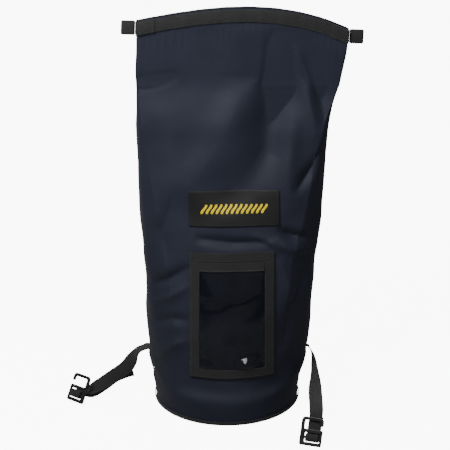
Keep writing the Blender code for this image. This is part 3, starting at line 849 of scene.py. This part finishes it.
def make_window():
    left, right, bottom, top = WINDOW
    web, gap = FRAME_WEB, 0.0002
    grid = draped_grid((left + 0.004, right - 0.004, bottom + 0.004, top - 0.016), (60, 110),
                       0.0012, 16)
    across = np.sin(np.linspace(0, math.pi, grid.shape[1]))[None, :]
    up = np.sin(np.linspace(0, math.pi, grid.shape[0]))[:, None]
    ripple = soft_noise(grid, 26.0, 5)
    grid[..., 1] -= across * up * (0.003 + 0.0022 * ripple)
    for x, z, wide, tall, depth in VINYL_BUCKLES:
        dx = (grid[..., 0] - x) / wide
        dz = (grid[..., 2] - z - 0.1 * (grid[..., 0] - x)) / tall
        grid[..., 1] -= across * depth * np.exp(-dx * dx - dz * dz)
    sheet = grid_piece("window_vinyl", grid, mats["vinyl"])
    add_thickness(sheet, 0.0005)
    settle(sheet, "root", "window_sheet", slot="clear_vinyl")
    low, high = bottom + web + gap, top - web - gap
    strips = {
        "window_frame_bottom": ((left, right, bottom, bottom + web), (60, 8)),
        "window_frame_top": ((left, right, top - web, top), (60, 8)),
        "window_frame_left": ((left, left + web, low, high), (8, 78)),
        "window_frame_right": ((right - web, right, low, high), (8, 78)),
        "window_hem_binding": ((left + web + gap, right - web - gap, high - HEM_DEPTH, high),
                               (46, 8)),
    }
    for name, (box, steps) in strips.items():
        hem = name == "window_hem_binding"
        strip, cover = sewn_sheet(name + "_webbing", box, steps, 0.0034 if hem else 0.0028, 0.0013,
                                  mats["webbing"], 12)
        settle(strip, "root", name)
        line = grid_line(cover, 0.0014)
        if hem:
            line = [(Vector(p) + FORWARD * 0.0014, FORWARD) for p in cover[1]]
        stitch_row(name + "_stitching", [line], mat="thread_pale" if hem else "thread",
                   long=0.0028, radius=0.0005 if hem else 0.0004)


# The rim

def rim_band(name, left, right, front, back, node):
    """A band of webbing that follows the rim's arch."""
    path = []
    for x in np.linspace(left, right, max(6, round((right - left) / 0.004)) + 1):
        ripple = 0.00035 * math.sin(x * 140.0) + 0.0002 * math.sin(x * 330.0)
        path.append(on_collar(x, (front + back) / 2 + ripple, rim_rise(x) + WEB_WIDTH / 2))
    band = webbing_strip(name, path, [COLLAR_UP] * len(path), thickness=back - front, square=False)
    settle(band, "rim", node)


def rim_spot(x, inset, y):
    return on_collar(x, y, rim_rise(x) + inset), Vector((0, math.copysign(1, y), 0))


def rim_line(left, right, inset, y):
    count = max(3, round(abs(right - left) / 0.004))
    return [rim_spot(x, inset, y) for x in np.linspace(left, right, count + 1)]


def make_rim():
    width, low, high = RIM_HALF_WIDTH, 0.0028, WEB_WIDTH - 0.0028
    rim_band("rim_band_front", -width, width, -0.0078, -0.006, "rim_webbing_front")
    rim_band("rim_band_back", -width, width, 0.0048, 0.0066, "rim_webbing_back")
    lines = []
    for inset in (low, high):
        free = width - TAB_LENGTH - 0.003
        lines.append(rim_line(-free, free, inset, -0.0077))
        lines.append(rim_line(-width + 0.004, width - 0.004, inset, 0.0065))
    for side, sign in (("left", -1), ("right", 1)):
        ends = sorted((sign * (width - TAB_LENGTH), sign * width))
        rim_band(f"loop_tab_{side}_webbing", *ends, -0.0096, -0.008, f"loop_tab_{side}")
        near, far, y = sign * (width - TAB_LENGTH + 0.0025), sign * (width - 0.0065), -0.0095
        lines += [rim_line(near, far, inset, y) for inset in (low, high)]
        lines += [[rim_spot(x, low, y), rim_spot(x, high, y)]
                  for x in (near, far, far + sign * 0.003)]
        lines += [[rim_spot(near, low, y), rim_spot(far, high, y)],
                  [rim_spot(near, high, y), rim_spot(far, low, y)]]
        make_end_loop(side, sign)
    stitch_row("rim_stitching", lines, "rim", long=0.0027, gap=0.0013, radius=0.0004)


def make_end_loop(side, sign):
    near = RIM_HALF_WIDTH + LOOP_RADIUS + 0.0014
    far = near + LOOP_LENGTH - 2 * LOOP_RADIUS
    radius, centre_y = LOOP_RADIUS - WEB_THICK / 2, -0.0008
    path = []
    for middle, start in ((near, math.pi / 2), (far, -math.pi / 2)):
        for a in np.linspace(start, start + math.pi, 13):
            path.append(on_collar(sign * (middle + radius * math.cos(a)),
                                        centre_y + radius * math.sin(a), WEB_WIDTH / 2))
    loop = webbing_strip(f"end_loop_{side}_webbing", path, [COLLAR_UP * sign] * len(path),
                         closed=True)
    settle(loop, f"loop_{side}", f"end_loop_{side}")
    # The same webbing runs on in between the rim's bands
    route = [on_collar(sign * (RIM_HALF_WIDTH + x), centre_y, WEB_WIDTH / 2)
             for x in (-0.0012, 0.0, 0.0012)]
    neck = webbing_strip(f"end_loop_{side}_neck", route, [COLLAR_UP * sign] * len(route),
                         WEB_WIDTH - 0.0004, 2 * radius - 0.0006)
    settle(neck, "rim")


# Straps and hooks

def hook_axes(turn, swing):
    """Right, up and out of a hook that leans back, is turned in its plane and swung round."""
    lean = Vector((0, math.sin(HOOK_LEAN), math.cos(HOOK_LEAN)))
    up = Vector((math.sin(turn), 0, 0)) + lean * math.cos(turn)
    flat = Vector((math.cos(turn), 0, 0)) - lean * math.sin(turn)
    right = flat * math.cos(swing) + flat.cross(up) * math.sin(swing)
    return right, up, right.cross(up)


def twisted(stops, count, bar):
    """Width directions along a strap, easing from stop to stop; None means along the bar."""
    places = [place for place, _ in stops]
    ways = [Vector(way) if way else bar for _, way in stops]
    result = []
    for t in np.linspace(0, 1, count):
        k = min(max(sum(place <= t for place in places), 1), len(places) - 1)
        ease = float(smooth_step(t, places[k - 1], places[k]))
        result.append(ways[k - 1].lerp(ways[k], ease).normalized())
    return result


def rounded_loop(corners, steps=6):
    loop, count = [], len(corners)
    for i, (x, y, radius) in enumerate(corners):
        corner = Vector((x, y))
        back = (Vector(corners[i - 1][:2]) - corner).normalized()
        ahead = (Vector(corners[(i + 1) % count][:2]) - corner).normalized()
        start, end = corner + back * radius, corner + ahead * radius
        for k in range(steps + 1):
            t = k / steps
            p = start * (1 - t) ** 2 + corner * 2 * t * (1 - t) + end * t * t
            loop.append((p.x / 1000, p.y / 1000))
    return loop


def make_hook(side, pivot, axes, flip):
    curve = bpy.data.curves.new(f"g_hook_{side}_outline", "CURVE")
    curve.dimensions = "2D"
    curve.fill_mode = "BOTH"
    curve.bevel_depth = 0.0009
    curve.bevel_resolution = 3
    curve.extrude = HOOK_THICK / 2 - curve.bevel_depth
    curve.offset = -curve.bevel_depth
    left, right = HOOK_SLOT_SIDES
    loops = [rounded_loop(HOOK_OUTLINE)]
    for low, high in HOOK_SLOTS:
        loops.append(rounded_loop(((left, low, 1.6), (left, high, 1.6), (right, high, 1.6),
                                   (right, low, 1.6))))
    for loop in loops:
        spline = curve.splines.new("POLY")
        spline.points.add(len(loop) - 1)
        for point, (x, y) in zip(spline.points, loop):
            point.co = (x * flip, y, 0, 1)
        spline.use_cyclic_u = True
    turn = Matrix(axes).transposed().to_4x4()
    shape = bpy.data.objects.new(curve.name, curve)
    link(shape)
    mesh = bpy.data.meshes.new_from_object(
        shape.evaluated_get(bpy.context.evaluated_depsgraph_get()))
    bpy.data.objects.remove(shape)
    mesh.transform(Matrix.Translation(pivot) @ turn)
    mesh.materials.clear()
    mesh.materials.append(mats["metal"])
    mesh.shade_smooth()
    mesh.set_sharp_from_angle(angle=math.radians(42))
    hook = bpy.data.objects.new(f"g_hook_{side}_body", mesh)
    link(hook)
    settle(hook, f"hook_{side}", f"g_hook_{side}", slot="hook_metal")


def make_strap(side, sign):
    setup = HOOKS[side]
    pivot = Vector(setup["pivot"])
    axes = hook_axes(math.radians(setup["turn"]), math.radians(setup["swing"]))
    right, up, out = axes
    make_hook(side, pivot, axes, setup["flip"])

    def leaving(points):
        return [pivot - out * behind + up * above + right * across
                for behind, above, across in points]

    ring = [pivot + up * (0.0066 * math.cos(a)) + out * (0.0039 * math.sin(a))
            for a in np.linspace(0, 2 * math.pi, 28, endpoint=False)]
    eye = webbing_strip(f"strap_eye_{side}_webbing", ring, [right * -1] * 28,
                        thickness=RING_OUTER - RING_INNER, closed=True)
    settle(eye, f"strap_{side}", f"strap_eye_{side}")

    half_width = float(np.interp(ANCHOR_TOP, TUBE[:, 0], TUBE[:, 1]))
    lean = float(np.interp(ANCHOR_TOP, TUBE[:, 0], TUBE[:, 3]))
    wall = lean + sign * (half_width + 0.0014)
    route = [(wall, 0, ANCHOR_TOP + 0.0006), (wall + sign * 0.0012, 0, ANCHOR_TOP + 0.0035),
             (wall + sign * 0.005, 0, ANCHOR_TOP + 0.0058), *STRAPS[side],
             *reversed(leaving(setup["strap"]))]
    path = smooth_path(route, STRAP_POINTS)
    sides = twisted(STRAP_TWIST[side], STRAP_POINTS, right)
    strap = webbing_strip(f"strap_{side}_webbing", path, sides)
    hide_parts(f"strap_{side}", f"strap_root_{side}")
    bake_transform(strap)

    tail = leaving(setup["tail"]) + [Vector(p) for p in TAILS[side]]
    tail_path = smooth_path(tail, 14 if side == "right" else 50)
    loose = webbing_strip(f"strap_tail_{side}_webbing", tail_path,
                          twisted(TAIL_TWIST[side], len(tail_path), right))
    settle(loose, f"strap_{side}", f"strap_tail_{side}")
    make_anchor(side, sign)


def make_anchor(side, sign):
    """The strap's end, sewn flat on the side of the bag with a crossed box of stitches."""
    rows, columns = 20, 12
    grid = np.empty((rows, columns, 3))
    for j, z in enumerate(np.linspace(ANCHOR_BOTTOM, ANCHOR_TOP, rows)):
        for i, t in enumerate(np.linspace(-0.5, 0.5, columns)):
            y = t * WEB_WIDTH * sign
            hit = cloth.ray_cast(Vector((sign, y, z)), Vector((-sign, 0, 0)))[0]
            grid[j, i] = (hit.x + sign * 0.0006, y, z)
    grid[:, :, 0] = (grid[:, :, 0].mean(axis=1, keepdims=True) + grid[:, :, 0]) / 2 + sign * 0.0006
    anchor = grid_piece(f"strap_anchor_{side}_webbing", grid, mats["webbing"])
    add_thickness(anchor, WEB_THICK, 0.0004)
    settle(anchor, "root", f"strap_anchor_{side}")
    out = Vector((sign, 0, 0))

    def at(row, column):
        return Vector(grid[row, column]) + out * (WEB_THICK + 0.0001), out
    box = [(2, 1), (2, columns - 2), (rows - 3, columns - 2), (rows - 3, 1), (2, 1)]
    lines = [[at(*a), at(*b)] for a, b in zip(box, box[1:])]
    lines += [[at(*box[0]), at(*box[2])], [at(*box[1]), at(*box[3])]]
    stitch_row(f"strap_anchor_{side}_stitching", lines)


# Base, hidden pieces and the studio

def make_base():
    ring = [Vector((BINDING_RADIUS * math.cos(a), BINDING_RADIUS * math.sin(a), 0.0043))
            for a in np.linspace(0, 2 * math.pi, 120, endpoint=False)]
    binding = webbing_strip("base_seam_binding", ring, [Vector((0, 0, 1))] * len(ring), 0.007,
                            0.0015, closed=True)
    settle(binding, "root", "base_binding")


def dress_cad_nodes():
    for name, finish in (("base_panel", "fabric_cad"), ("inner_tie_loop", "webbing_cad"),
                         ("rim_stiffener", "metal")):
        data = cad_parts[name].data
        data.materials.clear()
        data.materials.append(mats[finish])


def make_studio():
    # The floor is seen pale but throws little light back up, as in a shaded studio
    floor_mat, tree, shader = new_material("studio_floor")
    seen = tree.nodes.new("ShaderNodeLightPath").outputs["Is Camera Ray"]
    tree.links.new(blend_colour(tree, seen, (0.2, 0.2, 0.21), (0.9, 0.9, 0.9)),
                   shader.inputs["Base Color"])
    shader.inputs["Roughness"].default_value = 0.85
    shader.inputs["Specular IOR Level"].default_value = 0.1
    shader.inputs["Emission Color"].default_value = (1, 1, 1, 1)
    tree.links.new(maths(tree, "MULTIPLY", seen, FLOOR_GLOW), shader.inputs["Emission Strength"])
    bpy.ops.mesh.primitive_plane_add(size=40.0, location=(0, 8, -0.0006))
    floor = bpy.context.active_object
    floor.name = "studio_floor"
    floor.data.materials.append(floor_mat)

    background = bpy.data.worlds.new("studio")
    background.use_nodes = True
    sky = background.node_tree
    sky.nodes["Background"].inputs["Color"].default_value = (1, 1, 1, 1)
    seen = sky.nodes.new("ShaderNodeLightPath").outputs["Is Camera Ray"]
    strength = maths(sky, "ADD", maths(sky, "MULTIPLY", seen, FLOOR_GLOW), SKY_LIGHT)
    sky.links.new(strength, sky.nodes["Background"].inputs["Strength"])
    bpy.context.scene.world = background
    for name, place, size, energy in LIGHTS:
        data = bpy.data.lights.new(name, "AREA")
        data.size = size
        data.energy = energy
        light = bpy.data.objects.new(name, data)
        light.location = place
        light.rotation_euler = (Vector((0, 0, 0.4)) - Vector(place)).to_track_quat(
            "-Z", "Y").to_euler()
        link(light)


def make_camera():
    data = bpy.data.cameras.new("camera")
    data.lens = LENS
    camera = bpy.data.objects.new("camera", data)
    back = Vector((0, -math.cos(LOOK_DOWN), math.sin(LOOK_DOWN)))
    camera.location = AIM + back * DISTANCE
    camera.rotation_euler = (-back).to_track_quat("-Z", "Y").to_euler()
    link(camera)
    bpy.context.scene.camera = camera


make_camera()
cloth = make_fabric()
make_label()
make_back_tape()
make_window()
make_rim()
make_strap("left", -1)
make_strap("right", 1)
make_base()
dress_cad_nodes()
make_studio()
